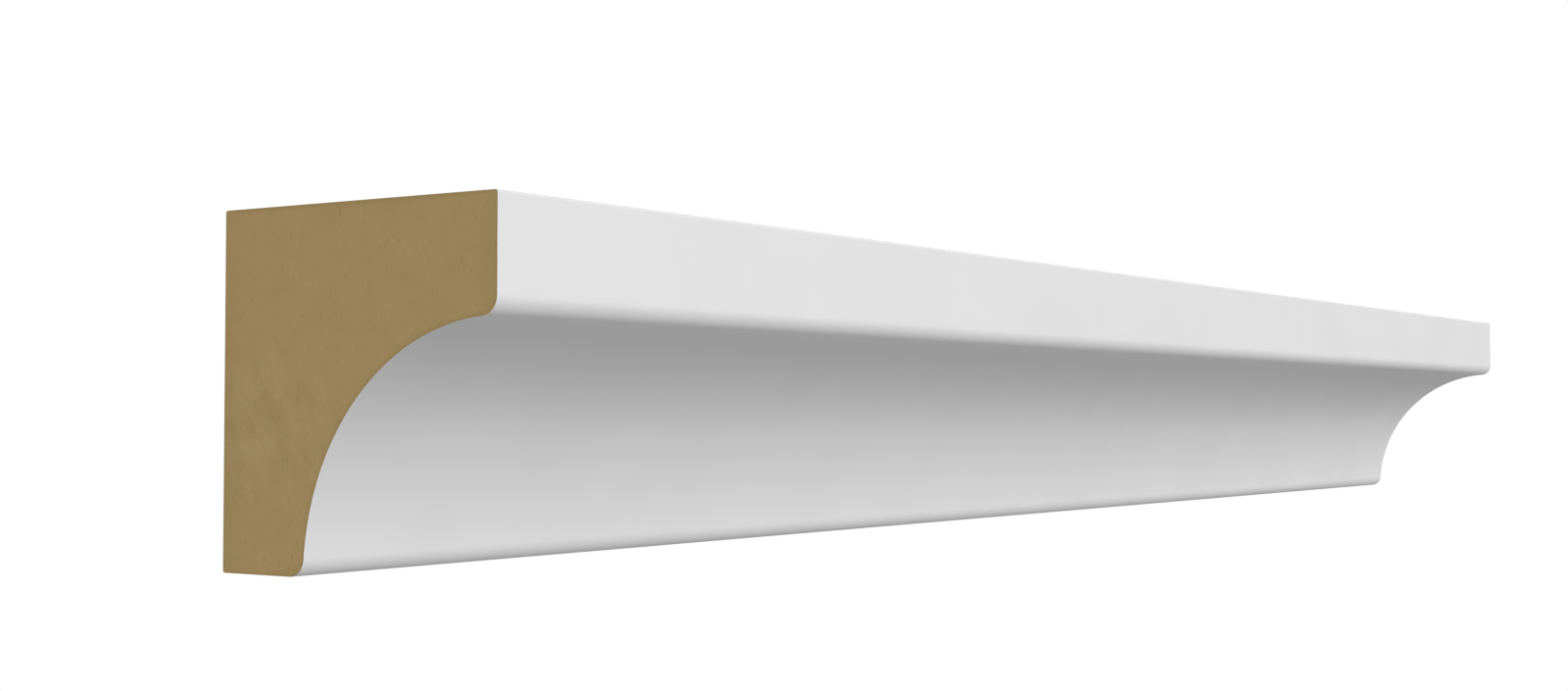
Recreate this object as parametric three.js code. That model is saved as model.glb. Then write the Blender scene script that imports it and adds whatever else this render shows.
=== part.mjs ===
// Inside corner moulding: one straight length of square section with a cove along its front lower corner.
// Millimetres, +Z up. The origin is the centre of the flat back. The stick runs along X, its front faces -Y
// and its flat top faces +Z.
import * as THREE from 'three';

// Driving dimensions
const SIDE = 19.05;
const LENGTH = 9 * SIDE;
const FLAT = 6.0;
const NOSE_RADIUS = 1.0;
const TOE_RADIUS = 1.0;
const ARC_STEPS = 18;

// What follows from them: the cove is a quarter round about the missing front lower corner
const COVE_RADIUS = SIDE - FLAT;

// The end profile, in its own plane: u runs from the back to the front, v from the bottom to the top.
// The nose and the toe are small rounds that meet the cove without a step, so the centre of each lies
// on the line through the cove's centre and the point where the two arcs touch.
function profile() {
  const cove = { u: SIDE, v: 0 };
  const nose = { u: SIDE - NOSE_RADIUS };
  nose.v = cove.v + Math.sqrt((COVE_RADIUS + NOSE_RADIUS) ** 2 - (nose.u - cove.u) ** 2);
  const toe = { v: TOE_RADIUS };
  toe.u = cove.u - Math.sqrt((COVE_RADIUS + TOE_RADIUS) ** 2 - (toe.v - cove.v) ** 2);

  const towards = (from, to) => Math.atan2(to.v - from.v, to.u - from.u);
  const shape = new THREE.Shape();
  shape.moveTo(0, 0);
  shape.lineTo(toe.u, 0);
  shape.absarc(toe.u, toe.v, TOE_RADIUS, -Math.PI / 2, towards(toe, cove), false);
  shape.absarc(cove.u, cove.v, COVE_RADIUS, towards(cove, toe), towards(cove, nose), true);
  shape.absarc(nose.u, nose.v, NOSE_RADIUS, towards(nose, cove), 0, false);
  shape.lineTo(SIDE, SIDE);
  shape.lineTo(0, SIDE);
  return shape;
}

// The stick is the profile drawn out along its length and cut square at both ends. Turning the drawn
// solid puts u along -Y, v along +Z and the length along -X, so it starts from the +X end.
const whitePrimer = new THREE.MeshStandardMaterial({ color: 0xe3e3e2, roughness: 0.55, metalness: 0 });
const stick = new THREE.Mesh(
  new THREE.ExtrudeGeometry(profile(), { depth: LENGTH, bevelEnabled: false, curveSegments: ARC_STEPS }),
  whitePrimer,
);
stick.name = 'inside_corner_moulding';
stick.rotation.set(Math.PI / 2, 0, -Math.PI / 2, 'ZYX');
stick.position.set(LENGTH / 2, 0, -SIDE / 2);

const moulding = new THREE.Group();
moulding.add(stick);

export default moulding;
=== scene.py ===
import math

import bmesh
import bpy
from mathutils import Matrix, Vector, geometry, kdtree, noise


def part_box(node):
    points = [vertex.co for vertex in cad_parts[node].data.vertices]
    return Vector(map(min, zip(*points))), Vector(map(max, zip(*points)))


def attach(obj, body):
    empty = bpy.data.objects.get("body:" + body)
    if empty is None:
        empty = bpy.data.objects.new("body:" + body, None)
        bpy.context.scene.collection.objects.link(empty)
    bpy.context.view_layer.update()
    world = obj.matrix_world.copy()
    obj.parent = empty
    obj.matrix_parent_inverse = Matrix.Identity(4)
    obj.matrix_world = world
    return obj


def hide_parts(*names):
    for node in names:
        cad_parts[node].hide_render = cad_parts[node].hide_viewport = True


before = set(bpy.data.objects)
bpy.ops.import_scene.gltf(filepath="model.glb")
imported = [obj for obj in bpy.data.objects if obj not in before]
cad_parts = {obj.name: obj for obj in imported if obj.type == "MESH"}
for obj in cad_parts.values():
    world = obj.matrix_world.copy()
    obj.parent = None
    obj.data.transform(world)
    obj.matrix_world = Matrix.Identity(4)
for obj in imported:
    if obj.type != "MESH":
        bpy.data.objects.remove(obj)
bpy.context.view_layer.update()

# The stick
# One length of square MDF, ripped from a panel and run through a moulder whose knives cut the cove, the nose
# and the toe in one pass. It is drawn as rows of points round its section, set along its length and joined.
mm = 0.001
stick_node = "inside_corner_moulding"
low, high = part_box(stick_node)
side = high.z - low.z
half_length = (high.x - low.x) / 2
flat_width = 6.0 * mm
nose_radius = 1.0 * mm
toe_radius = 1.0 * mm
arris_radius = 0.15 * mm
point_spacing = 0.2 * mm
turn_spacing = math.radians(6)
row_count = 24

# The section is drawn in the frame of its end: u from the back to the front, v from the bottom to the top
cove_radius = side - flat_width
cove_centre = Vector((side, 0))
nose_centre = Vector((side - nose_radius, math.sqrt((cove_radius + nose_radius) ** 2 - nose_radius ** 2)))
toe_centre = Vector((side - math.sqrt((cove_radius + toe_radius) ** 2 - toe_radius ** 2), toe_radius))


def bearing(start, end):
    """The angle of the way from one point to another."""
    return math.atan2(end.y - start.y, end.x - start.x)


def flat(face, start, end):
    """A flat stretch as points of (place, way out of the wood, face), without its last point."""
    along = end - start
    steps = math.ceil(along.length / point_spacing)
    way = Vector((along.y, -along.x)).normalized()
    for step in range(steps):
        yield start + along * step / steps, way, face


def arc(face, centre, radius, start, end):
    """The same for a round stretch between two angles, which is hollow if it turns clockwise."""
    turn = abs(end - start)
    steps = math.ceil(max(turn / turn_spacing, turn * radius / point_spacing))
    for step in range(steps):
        angle = start + (end - start) * step / steps
        spoke = Vector((math.cos(angle), math.sin(angle)))
        yield centre + radius * spoke, spoke if end > start else -spoke, face


quarter = math.pi / 2
cove_low = bearing(cove_centre, toe_centre)
cove_high = bearing(cove_centre, nose_centre)
back_low = Vector((arris_radius, arris_radius))
back_high = Vector((arris_radius, side - arris_radius))
front_high = Vector((side - arris_radius, side - arris_radius))
outline = [
    *arc("back arris", back_low, arris_radius, 2 * quarter, 3 * quarter),
    *flat("underside", Vector((back_low.x, 0)), Vector((toe_centre.x, 0))),
    *arc("toe", toe_centre, toe_radius, -quarter, bearing(toe_centre, cove_centre)),
    *arc("cove", cove_centre, cove_radius, cove_low, cove_high),
    *arc("nose", nose_centre, nose_radius, bearing(nose_centre, cove_centre), 0),
    *flat("front", Vector((side, nose_centre.y)), Vector((side, front_high.y))),
    *arc("front arris", front_high, arris_radius, 0, quarter),
    *flat("top", Vector((front_high.x, side)), Vector((back_high.x, side))),
    *arc("back arris", back_high, arris_radius, quarter, 2 * quarter),
    *flat("back", Vector((0, back_high.y)), Vector((0, back_low.y))),
]

# The rim layer, made before any point, is for the finish of the cut ends, which is darker at their edge
wood = bmesh.new()
rim = wood.verts.layers.float.new("rim")
rows = []
for row in range(row_count + 1):
    x = half_length * (2 * row / row_count - 1)
    rows.append([wood.verts.new((x, -place.x, low.z + place.y)) for place, way, face in outline])

# Bare on the back and coated all round the rest
sanded, coated, sawn = range(3)
for first, second in zip(rows, rows[1:]):
    for i, (place, way, face) in enumerate(outline):
        j = (i + 1) % len(outline)
        quad = wood.faces.new((first[i], first[j], second[j], second[i]))
        quad.material_index = sanded if face == "back" else coated
        quad.smooth = True


# The bare back
# The back is the panel's own face, calibrated on a wide-belt sander and left bare for the adhesive. Only the
# spray that coats the other faces drifts a millimetre or so over its long edges.
def linear(code):
    """An sRGB hex colour as linear red, green, blue and alpha."""
    parts = [int(code[i:i + 2], 16) / 255 for i in (1, 3, 5)]
    return [c / 12.92 if c <= 0.04045 else ((c + 0.055) / 1.055) ** 2.4 for c in parts] + [1.0]


def add(owner, kind, inputs=(), give=None, **settings):
    """Adds a node with its settings and gives one of its outputs, the first if none is named. inputs has a
    value, or the output that feeds it, for each socket by name, or by number where two have one name."""
    made = owner.node_tree.nodes.new(kind)
    for name, value in settings.items():
        setattr(made, name, value)
    sockets = [socket for socket in made.inputs if socket.enabled]
    for name, value in dict(inputs).items():
        socket = next(socket for i, socket in enumerate(sockets) if name in (i, socket.name))
        if isinstance(value, bpy.types.NodeSocket):
            owner.node_tree.links.new(value, socket)
        else:
            socket.default_value = value
    return next((output for output in made.outputs if output.enabled and give in (None, output.name)), None)


def finish(name):
    """A new material with no nodes in it."""
    material = bpy.data.materials.new(name)
    material.use_nodes = True
    material.node_tree.nodes.clear()
    return material


# Sanded MDF: wood fibre bonded with urea resin under heat, so the skin is dense and a light even tan, matt
# with a hint of polish and a few darker flecks of coarse fibre. The belt leaves scratches along the stick.
# They are 0.05 mm wide, drawn 0.3 mm to show.
sanded_colours = linear("#AE9563"), linear("#BCA475")
fleck_colour = linear("#8F7642")
fleck_strength = 0.5
fleck = Vector((1.1, 0.35, 0.35)) * mm
scratch = Vector((14, 0.3, 0.3)) * mm
scratch_depth = 0.01 * mm
cloud = 9 * mm
overspray = 1.1 * mm
spray_drift = Vector((9, 1.5, 1.5)) * mm
overspray_colour = linear("#DDDDDA")
back = finish("sanded_mdf")
place = add(back, "ShaderNodeTexCoord", give="Object")
drawn_out = add(back, "ShaderNodeMapping", {"Vector": place, "Scale": scratch}, vector_type="TEXTURE")
scratches = add(back, "ShaderNodeTexNoise", {"Vector": drawn_out, "Scale": 1.0, "Detail": 3.0})
clouds = add(back, "ShaderNodeTexNoise", {"Vector": place, "Scale": 1 / cloud, "Detail": 3.0})
both = add(back, "ShaderNodeMix", {"Factor": 0.5, "A": scratches, "B": clouds})
spread = add(back, "ShaderNodeMapRange", {"Value": both, "From Min": 0.3, "From Max": 0.7})
tan = add(back, "ShaderNodeMix", {"Factor": spread, "A": sanded_colours[0], "B": sanded_colours[1]},
          data_type="RGBA")
drawn_out = add(back, "ShaderNodeMapping", {"Vector": place, "Scale": fleck}, vector_type="TEXTURE")
flecks = add(back, "ShaderNodeTexNoise", {"Vector": drawn_out, "Scale": 1.0, "Detail": 2.0})
dark = add(back, "ShaderNodeMapRange",
           {"Value": flecks, "From Min": 0.62, "From Max": 0.74, "To Max": fleck_strength})
tan = add(back, "ShaderNodeMix", {"Factor": dark, "A": tan, "B": fleck_colour}, data_type="RGBA")

# The overspray reaches in from both long edges, by a width that wanders slowly along them
drawn_out = add(back, "ShaderNodeMapping", {"Vector": place, "Scale": spray_drift}, vector_type="TEXTURE")
drift = add(back, "ShaderNodeTexNoise",
            {"Vector": drawn_out, "Scale": 1.0, "Detail": 5.0, "Roughness": 0.65})
drift = add(back, "ShaderNodeMapRange",
            {"Value": drift, "From Min": 0.25, "From Max": 0.75, "To Min": -overspray, "To Max": overspray})
height = add(back, "ShaderNodeSeparateXYZ", {"Vector": place}, give="Z")
height = add(back, "ShaderNodeMath", {0: height}, operation="ABSOLUTE")
height = add(back, "ShaderNodeMath", {0: height, 1: drift}, operation="ADD")
drifted = add(back, "ShaderNodeMapRange",
              {"Value": height, "From Min": side / 2 - overspray, "From Max": side / 2 + overspray / 2},
              interpolation_type="SMOOTHSTEP")
tan = add(back, "ShaderNodeMix", {"Factor": drifted, "A": tan, "B": overspray_colour}, data_type="RGBA")
relief = add(back, "ShaderNodeBump", {"Height": scratches, "Distance": scratch_depth, "Strength": 1.0})
surface = add(back, "ShaderNodeBsdfPrincipled",
              {"Base Color": tan, "Normal": relief, "Roughness": 0.8, "IOR": 1.5})
add(back, "ShaderNodeOutputMaterial", {"Surface": surface})

# The white coat
# Every other face is sprayed with primer in a line machine and denibbed with fine paper, which leaves faint
# lines along the stick. The dry film is so thin that the stick's outline already counts it.
skin_depth = 1.6 * mm


def panel_skin(owner, place):
    """The panel's dense skins, from 1 at its faces, the stick's front and back, to 0 in its coarse core."""
    depth = add(owner, "ShaderNodeSeparateXYZ", {"Vector": place}, give="Y")
    depth = add(owner, "ShaderNodeMath", {0: depth, 1: side / 2}, operation="ADD")
    depth = add(owner, "ShaderNodeMath", {0: depth}, operation="ABSOLUTE")
    return add(owner, "ShaderNodeMapRange",
               {"Value": depth, "From Min": side / 2 - skin_depth, "From Max": side / 2},
               interpolation_type="SMOOTHSTEP")


# Water-borne acrylic primer, sprayed: a neutral satin white with the soft orange peel of the spray. The
# panel's dense skin is the front flat. In from it the knives open the coarse core, whose fibres rise under
# the wet coat and dull it a little. Fibres and denib lines are under 0.1 mm wide, drawn 0.35 mm to show.
primer_colours = linear("#E6E6E6"), linear("#E9E9E9")
skin_roughness = 0.46
core_roughness = 0.5
cloud_roughness = 0.08
peel = 0.9 * mm
peel_depth = 0.004 * mm
denib = Vector((20, 0.35, 0.35)) * mm
denib_depth = 0.0015 * mm
raised_fibre = Vector((2.5, 0.35, 0.35)) * mm
raised_depth = 0.003 * mm
coat = finish("sprayed_acrylic_primer")
place = add(coat, "ShaderNodeTexCoord", give="Object")
core = add(coat, "ShaderNodeMath", {0: 1.0, 1: panel_skin(coat, place)}, operation="SUBTRACT")
drawn_out = add(coat, "ShaderNodeMapping", {"Vector": place, "Scale": denib}, vector_type="TEXTURE")
lines = add(coat, "ShaderNodeTexNoise", {"Vector": drawn_out, "Scale": 1.0, "Detail": 2.0})
drawn_out = add(coat, "ShaderNodeMapping", {"Vector": place, "Scale": raised_fibre}, vector_type="TEXTURE")
fibres = add(coat, "ShaderNodeTexNoise", {"Vector": drawn_out, "Scale": 1.0, "Detail": 2.0})
peels = add(coat, "ShaderNodeTexNoise", {"Vector": place, "Scale": 1 / peel, "Detail": 1.0})
clouds = add(coat, "ShaderNodeTexNoise", {"Vector": place, "Scale": 1 / cloud, "Detail": 3.0})
spread = add(coat, "ShaderNodeMapRange", {"Value": clouds, "From Min": 0.3, "From Max": 0.7})
tone = add(coat, "ShaderNodeMix", {"Factor": spread, "A": primer_colours[0], "B": primer_colours[1]},
           data_type="RGBA")
relief = add(coat, "ShaderNodeBump", {"Height": lines, "Distance": denib_depth, "Strength": 1.0})
relief = add(coat, "ShaderNodeBump",
             {"Height": fibres, "Distance": raised_depth, "Strength": core, "Normal": relief})
relief = add(coat, "ShaderNodeBump",
             {"Height": peels, "Distance": peel_depth, "Strength": 1.0, "Normal": relief})
dulled = add(coat, "ShaderNodeMapRange", {"Value": core, "To Min": skin_roughness, "To Max": core_roughness})
dulled = add(coat, "ShaderNodeMath", {0: spread, 1: cloud_roughness, 2: dulled}, operation="MULTIPLY_ADD")
surface = add(coat, "ShaderNodeBsdfPrincipled",
              {"Base Color": tone, "Normal": relief, "Roughness": dulled, "IOR": 1.5})
add(coat, "ShaderNodeOutputMaterial", {"Surface": surface})

# The cut ends
# The finished stick is cut to length with a fine-toothed saw, so each end shows bare MDF right out to its
# edge, where the coat is too thin to see. The teeth leave faint arcs in it, and the cut fibres swell.
grain_pitch = 0.16 * mm
row_step = grain_pitch * math.sqrt(0.75)
edge_gap = 0.9 * grain_pitch
fuzz_depth = 0.012 * mm
fuzz_size = 0.45 * mm
fuzz_falloff, fuzz_ratio, fuzz_layers = 0.6, 2.0, 3
saw_depth = 0.006 * mm
saw_pitch = 0.9 * mm
saw_centre = Vector((-70, 105)) * mm
rim_width = 0.3 * mm

# The cut is a close honeycomb of grains that fills the section, each with its place and its depth in from
# the edge
border = [place for place, way, face in outline]
nearest = kdtree.KDTree(len(border))
for i, place in enumerate(border):
    nearest.insert((place.x, place.y, 0), i)
nearest.balance()
grains = []
for row in range(round(side / row_step) + 1):
    for column in range(round(side / grain_pitch) + 1):
        place = Vector((grain_pitch * (column + row % 2 / 2), row_step * row))
        i, depth = nearest.find((place.x, place.y, 0))[1:]
        if depth > edge_gap and (place - border[i]).dot(outline[i][1]) < 0:
            grains.append((place, depth))
corners = [place / mm for place in border] + [place / mm for place, depth in grains]
edge_loop = list(range(len(border)))
inside_only = 1
tolerance = 1e-6
triangles = geometry.delaunay_2d_cdt(corners, [], [edge_loop], inside_only, tolerance)[2]

# The cut is level with the edge all round and sunk a little further in, and its rim layer falls from 1 at
# the edge to 0
for end, edge_row in ((-1, rows[0]), (1, rows[-1])):
    vertices = list(edge_row)
    for vertex in edge_row:
        vertex[rim] = 1.0
    for place, depth in grains:
        settled = min(1.0, depth / rim_width)
        fuzz_place = Vector((end, place.x / fuzz_size, place.y / fuzz_size))
        fuzz = max(-1.0, min(1.0, noise.fractal(fuzz_place, fuzz_falloff, fuzz_ratio, fuzz_layers)))
        tooth = math.cos(2 * math.pi * (place - saw_centre).length / saw_pitch)
        sunk = settled * (fuzz_depth * (1 + fuzz) + saw_depth * (1 + tooth)) / 2
        vertex = wood.verts.new((end * (half_length - sunk), -place.x, low.z + place.y))
        vertex[rim] = 1.0 - settled
        vertices.append(vertex)
    for triangle in triangles:
        cut = wood.faces.new([vertices[i] for i in triangle])
        cut.material_index = sawn
        cut.smooth = True

# MDF sawn across: the same fibre and resin as the back, but cut, so a matt even tan with no grain. The
# fibres lie in the plane of the panel and show as a felt of short upright dashes over a soft mottle where
# they clumped, with a few dark shives. The felt is darker in the dense skins at the back and the front, and
# right at the edge. Real fibres are 0.04 mm wide, too fine to show, so the dashes are drawn 0.15 mm wide.
felt_colours = linear("#A78C5A"), linear("#B09563")
shive_colour = linear("#8C7342")
skin_colour = linear("#98804C")
shive_strength = 0.35
skin_strength = 0.25
rim_strength = 0.7
dash = Vector((0.15, 0.15, 0.38)) * mm
shive = Vector((0.3, 0.22, 0.5)) * mm
clump = 2.2 * mm
felt_depth = 0.02 * mm
sawn_mdf = finish("sawn_mdf")
place = add(sawn_mdf, "ShaderNodeTexCoord", give="Object")
drawn_out = add(sawn_mdf, "ShaderNodeMapping", {"Vector": place, "Scale": dash}, vector_type="TEXTURE")
felt = add(sawn_mdf, "ShaderNodeTexNoise",
           {"Vector": drawn_out, "Scale": 1.0, "Detail": 4.0, "Roughness": 0.7, "Distortion": 0.6})
clumps = add(sawn_mdf, "ShaderNodeTexNoise",
             {"Vector": place, "Scale": 1 / clump, "Detail": 3.0, "Roughness": 0.6, "Distortion": 0.5})
both = add(sawn_mdf, "ShaderNodeMix", {"Factor": 0.5, "A": felt, "B": clumps})
spread = add(sawn_mdf, "ShaderNodeMapRange", {"Value": both, "From Min": 0.3, "From Max": 0.7})
tan = add(sawn_mdf, "ShaderNodeMix", {"Factor": spread, "A": felt_colours[0], "B": felt_colours[1]},
          data_type="RGBA")
drawn_out = add(sawn_mdf, "ShaderNodeMapping", {"Vector": place, "Scale": shive}, vector_type="TEXTURE")
shives = add(sawn_mdf, "ShaderNodeTexNoise", {"Vector": drawn_out, "Scale": 1.0, "Detail": 1.0})
dark = add(sawn_mdf, "ShaderNodeMapRange",
           {"Value": shives, "From Min": 0.66, "From Max": 0.78, "To Max": shive_strength})
tan = add(sawn_mdf, "ShaderNodeMix", {"Factor": dark, "A": tan, "B": shive_colour}, data_type="RGBA")

# The near end has one faintly streaked patch, low down beside the back
streak_colours = linear("#9E8453"), linear("#B59B6B")
streak = Vector((1.0, 1.0, 1.9)) * mm
streak_lean = math.radians(-30)
patch_centre = Vector((-half_length, -3.8 * mm, low.z + 7.5 * mm))
patch_size = 6.5 * mm
patch_strength = 0.4
drawn_out = add(sawn_mdf, "ShaderNodeMapping",
                {"Vector": place, "Rotation": (streak_lean, 0, 0), "Scale": streak}, vector_type="TEXTURE")
streaks = add(sawn_mdf, "ShaderNodeTexNoise",
              {"Vector": drawn_out, "Scale": 1.0, "Detail": 3.0, "Roughness": 0.6})
streaks = add(sawn_mdf, "ShaderNodeMapRange", {"Value": streaks, "From Min": 0.35, "From Max": 0.65})
streaked = add(sawn_mdf, "ShaderNodeMix",
               {"Factor": streaks, "A": streak_colours[0], "B": streak_colours[1]}, data_type="RGBA")
reach = add(sawn_mdf, "ShaderNodeVectorMath", {0: place, 1: patch_centre}, give="Value",
            operation="DISTANCE")
patch = add(sawn_mdf, "ShaderNodeMapRange",
            {"Value": reach, "From Min": patch_size, "From Max": patch_size / 3, "To Max": patch_strength},
            interpolation_type="SMOOTHSTEP")
tan = add(sawn_mdf, "ShaderNodeMix", {"Factor": patch, "A": tan, "B": streaked}, data_type="RGBA")

skin = panel_skin(sawn_mdf, place)
skin = add(sawn_mdf, "ShaderNodeMath", {0: skin, 1: skin_strength}, operation="MULTIPLY")
edge = add(sawn_mdf, "ShaderNodeAttribute", give="Fac", attribute_name="rim")
edge = add(sawn_mdf, "ShaderNodeMath", {0: edge, 1: rim_strength}, operation="MULTIPLY")
darker = add(sawn_mdf, "ShaderNodeMath", {0: skin, 1: edge}, operation="MAXIMUM")
tan = add(sawn_mdf, "ShaderNodeMix", {"Factor": darker, "A": tan, "B": skin_colour}, data_type="RGBA")
relief = add(sawn_mdf, "ShaderNodeBump", {"Height": felt, "Distance": felt_depth, "Strength": 1.0})
surface = add(sawn_mdf, "ShaderNodeBsdfPrincipled",
              {"Base Color": tan, "Normal": relief, "Roughness": 0.9, "IOR": 1.5})
add(sawn_mdf, "ShaderNodeOutputMaterial", {"Surface": surface})

# The finished length
# The wood and its finishes become one piece, which stands for the solid stick. Its rounds are shaded smooth
# and the edges of its cut ends stay crisp.
crisp = math.radians(25)
bmesh.ops.recalc_face_normals(wood, faces=wood.faces)
for edge in wood.edges:
    edge.smooth = edge.calc_face_angle() < crisp
moulding = bpy.data.objects.new("moulding", bpy.data.meshes.new("moulding"))
wood.to_mesh(moulding.data)
wood.free()
for material in (back, coat, sawn_mdf):
    moulding.data.materials.append(material)
bpy.context.scene.collection.objects.link(moulding)
even = moulding.modifiers.new("even shading", "WEIGHTED_NORMAL")
even.keep_sharp = True
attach(moulding, "root")
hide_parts(stick_node)

# The floor
# A white paper sweep some way under the stick, too bright to show a seam or a shadow. Only the camera sees
# it: the light that it would send back up is part of the room's.
floor_drop = 0.3
floor_reach = 30.0
floor = bpy.data.objects.new("floor", bpy.data.meshes.new("floor"))
corners = [Vector((x, y, 0)) * floor_reach for x, y in ((-1, -1), (1, -1), (1, 1), (-1, 1))]
floor.data.from_pydata(corners, [], [(0, 1, 2, 3)])
floor.location.z = -floor_drop
bpy.context.scene.collection.objects.link(floor)
paper = finish("white_paper")
glow = add(paper, "ShaderNodeEmission", {"Color": linear("#FFFFFF"), "Strength": 1.0})
add(paper, "ShaderNodeOutputMaterial", {"Surface": glow})
floor.data.materials.append(paper)
floor.visible_diffuse = False
floor.visible_glossy = False
floor.visible_shadow = False

# The room
# A white room, seen as plain white behind the stick, whose walls send back about a third of that light.
room_light = 0.371
room = bpy.data.worlds.new("studio")
room.use_nodes = True
room.node_tree.nodes.clear()
seen = add(room, "ShaderNodeBackground", {"Color": linear("#FFFFFF"), "Strength": 1.0})
sent_back = add(room, "ShaderNodeBackground", {"Color": linear("#FFFFFF"), "Strength": room_light})
by_camera = add(room, "ShaderNodeLightPath", give="Is Camera Ray")
wall = add(room, "ShaderNodeMixShader", {0: by_camera, 1: sent_back, 2: seen})
add(room, "ShaderNodeOutputWorld", {"Surface": wall})
bpy.context.scene.world = room

# The lights
# Five soft boxes aimed at the stick. The long strip and the high box in front light the front flat and leave
# the cove in a soft shade that fades towards its toe. The others light the two ends, the back and the top.
stand_off = 1.2


def softbox(name, azimuth, elevation, width, height, watts):
    """A soft box in metres, at azimuth 0 in front of the stick and 90 at its right."""
    a, e = math.radians(azimuth), math.radians(elevation)
    lamp = bpy.data.lights.new(name, "AREA")
    lamp.shape = "RECTANGLE"
    lamp.size = width
    lamp.size_y = height
    lamp.energy = watts
    made = bpy.data.objects.new(name, lamp)
    made.location = stand_off * Vector((math.sin(a) * math.cos(e), -math.cos(a) * math.cos(e), math.sin(e)))
    made.rotation_euler = (-made.location).to_track_quat("-Z", "Y").to_euler()
    bpy.context.scene.collection.objects.link(made)


softbox("key_strip", azimuth=0, elevation=20, width=2.4, height=0.42, watts=10.7)
softbox("high_box", azimuth=0, elevation=50, width=2.4, height=0.87, watts=3.87)
softbox("left_box", azimuth=-104, elevation=5, width=0.6, height=0.6, watts=3.5)
softbox("right_box", azimuth=90, elevation=20, width=0.8, height=0.6, watts=2.6)
softbox("back_box", azimuth=180, elevation=35, width=1.6, height=0.8, watts=4.0)

# The camera
# It stands close to the bare end, about 65 mm in front of the stick and just under its middle, so the stick
# runs away to the right and neither its top nor its underside shows.
camera_place = Vector((-159.82, -85.37, -1.3)) * mm
camera_heading = math.radians(56.06)
camera_tilt = math.radians(1.947)
camera = bpy.data.objects.new("camera", bpy.data.cameras.new("camera"))
camera.location = camera_place
camera.rotation_euler = (quarter + camera_tilt, 0, -camera_heading)
camera.data.lens = 47.58
camera.data.sensor_width = 36
camera.data.clip_start = 5 * mm
bpy.context.scene.collection.objects.link(camera)
bpy.context.scene.camera = camera
bpy.context.scene.view_settings.view_transform = "Standard"
